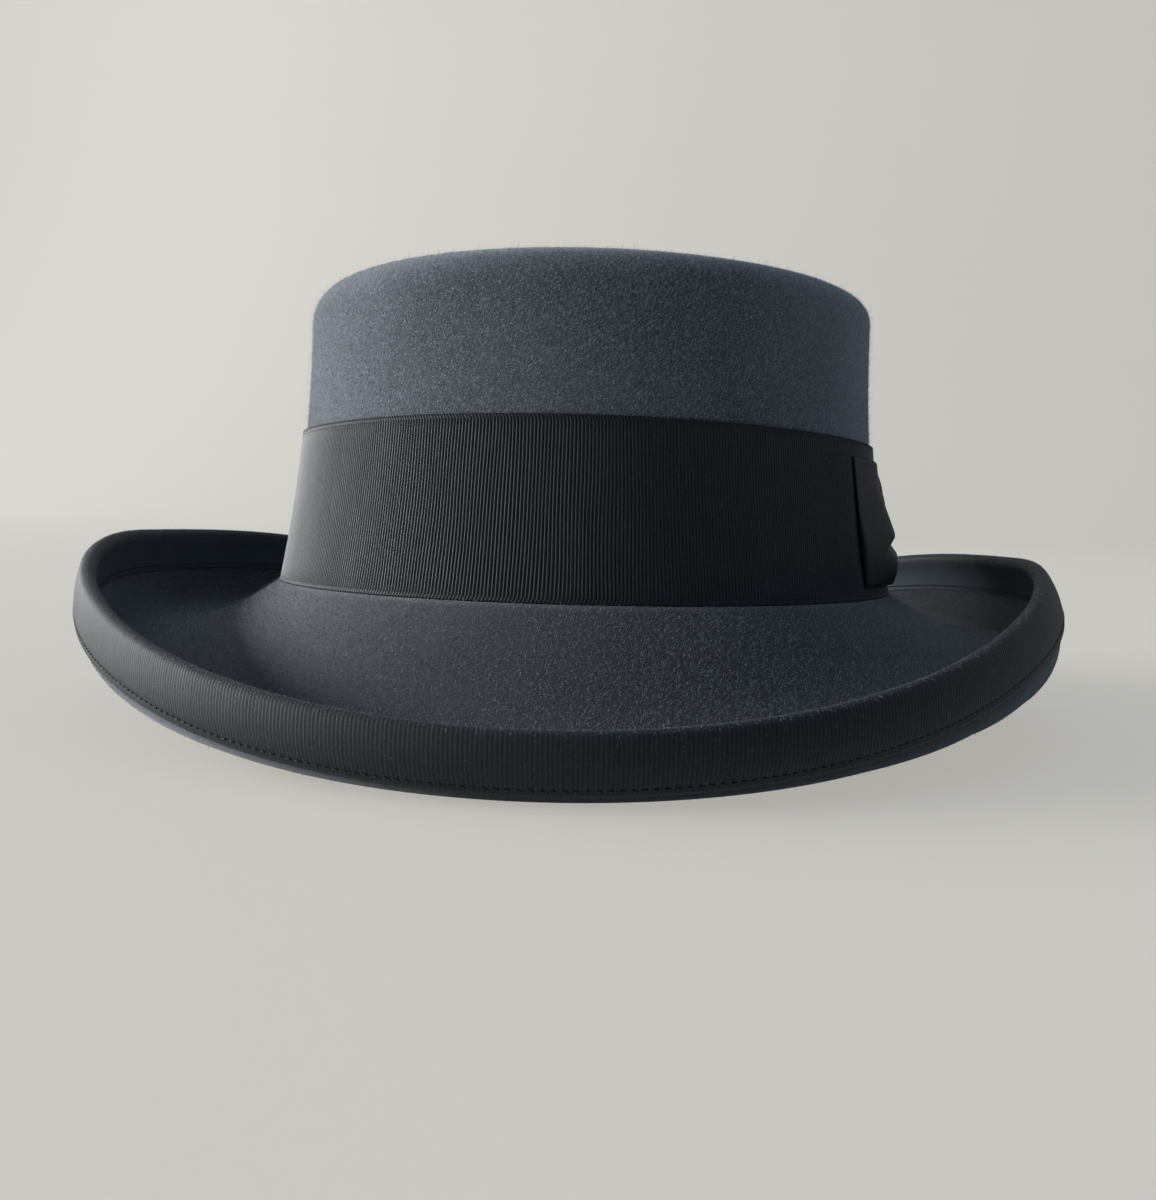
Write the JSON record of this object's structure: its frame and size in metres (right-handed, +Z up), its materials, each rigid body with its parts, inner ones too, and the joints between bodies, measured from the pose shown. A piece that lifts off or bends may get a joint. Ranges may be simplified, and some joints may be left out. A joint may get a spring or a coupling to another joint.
{
  "type": "top hat",
  "caption": "Low felt top hat: flat crown, wide ribbon band with a side bow, ribbon-bound brim dipped front and back and rolled up at the sides, leather sweatband and lining.",
  "frame": {"origin": "on the surface that the brim stands on, under the middle of the hat's plan", "axes": "+Z up through the crown, -Y to the front of the hat, +X to the wearer's left, where the bow is"},
  "size_m": [0.274, 0.3276, 0.1161],
  "materials": {
    "felt": "short-napped slate blue wool felt",
    "grosgrain": "charcoal ribbed ribbon with a faint sheen",
    "leather": "smooth black sheepskin",
    "satin": "black satin",
    "reed": "black sewn reed",
    "wire": "plain steel wire"
  },
  "bodies": {
    "root": {"crown": "felt", "brim": "felt", "hat_band": "grosgrain", "bow_front_loop": "grosgrain", "bow_rear_loop": "grosgrain", "bow_knot": "grosgrain", "brim_binding": "grosgrain", "brim_wire": "wire", "sweatband": "leather", "sweatband_reed": "reed", "sweatband_bow": "satin", "lining_side": "satin", "lining_tip": "satin", "lining_piping": "satin"}
  },
  "joints": []
}
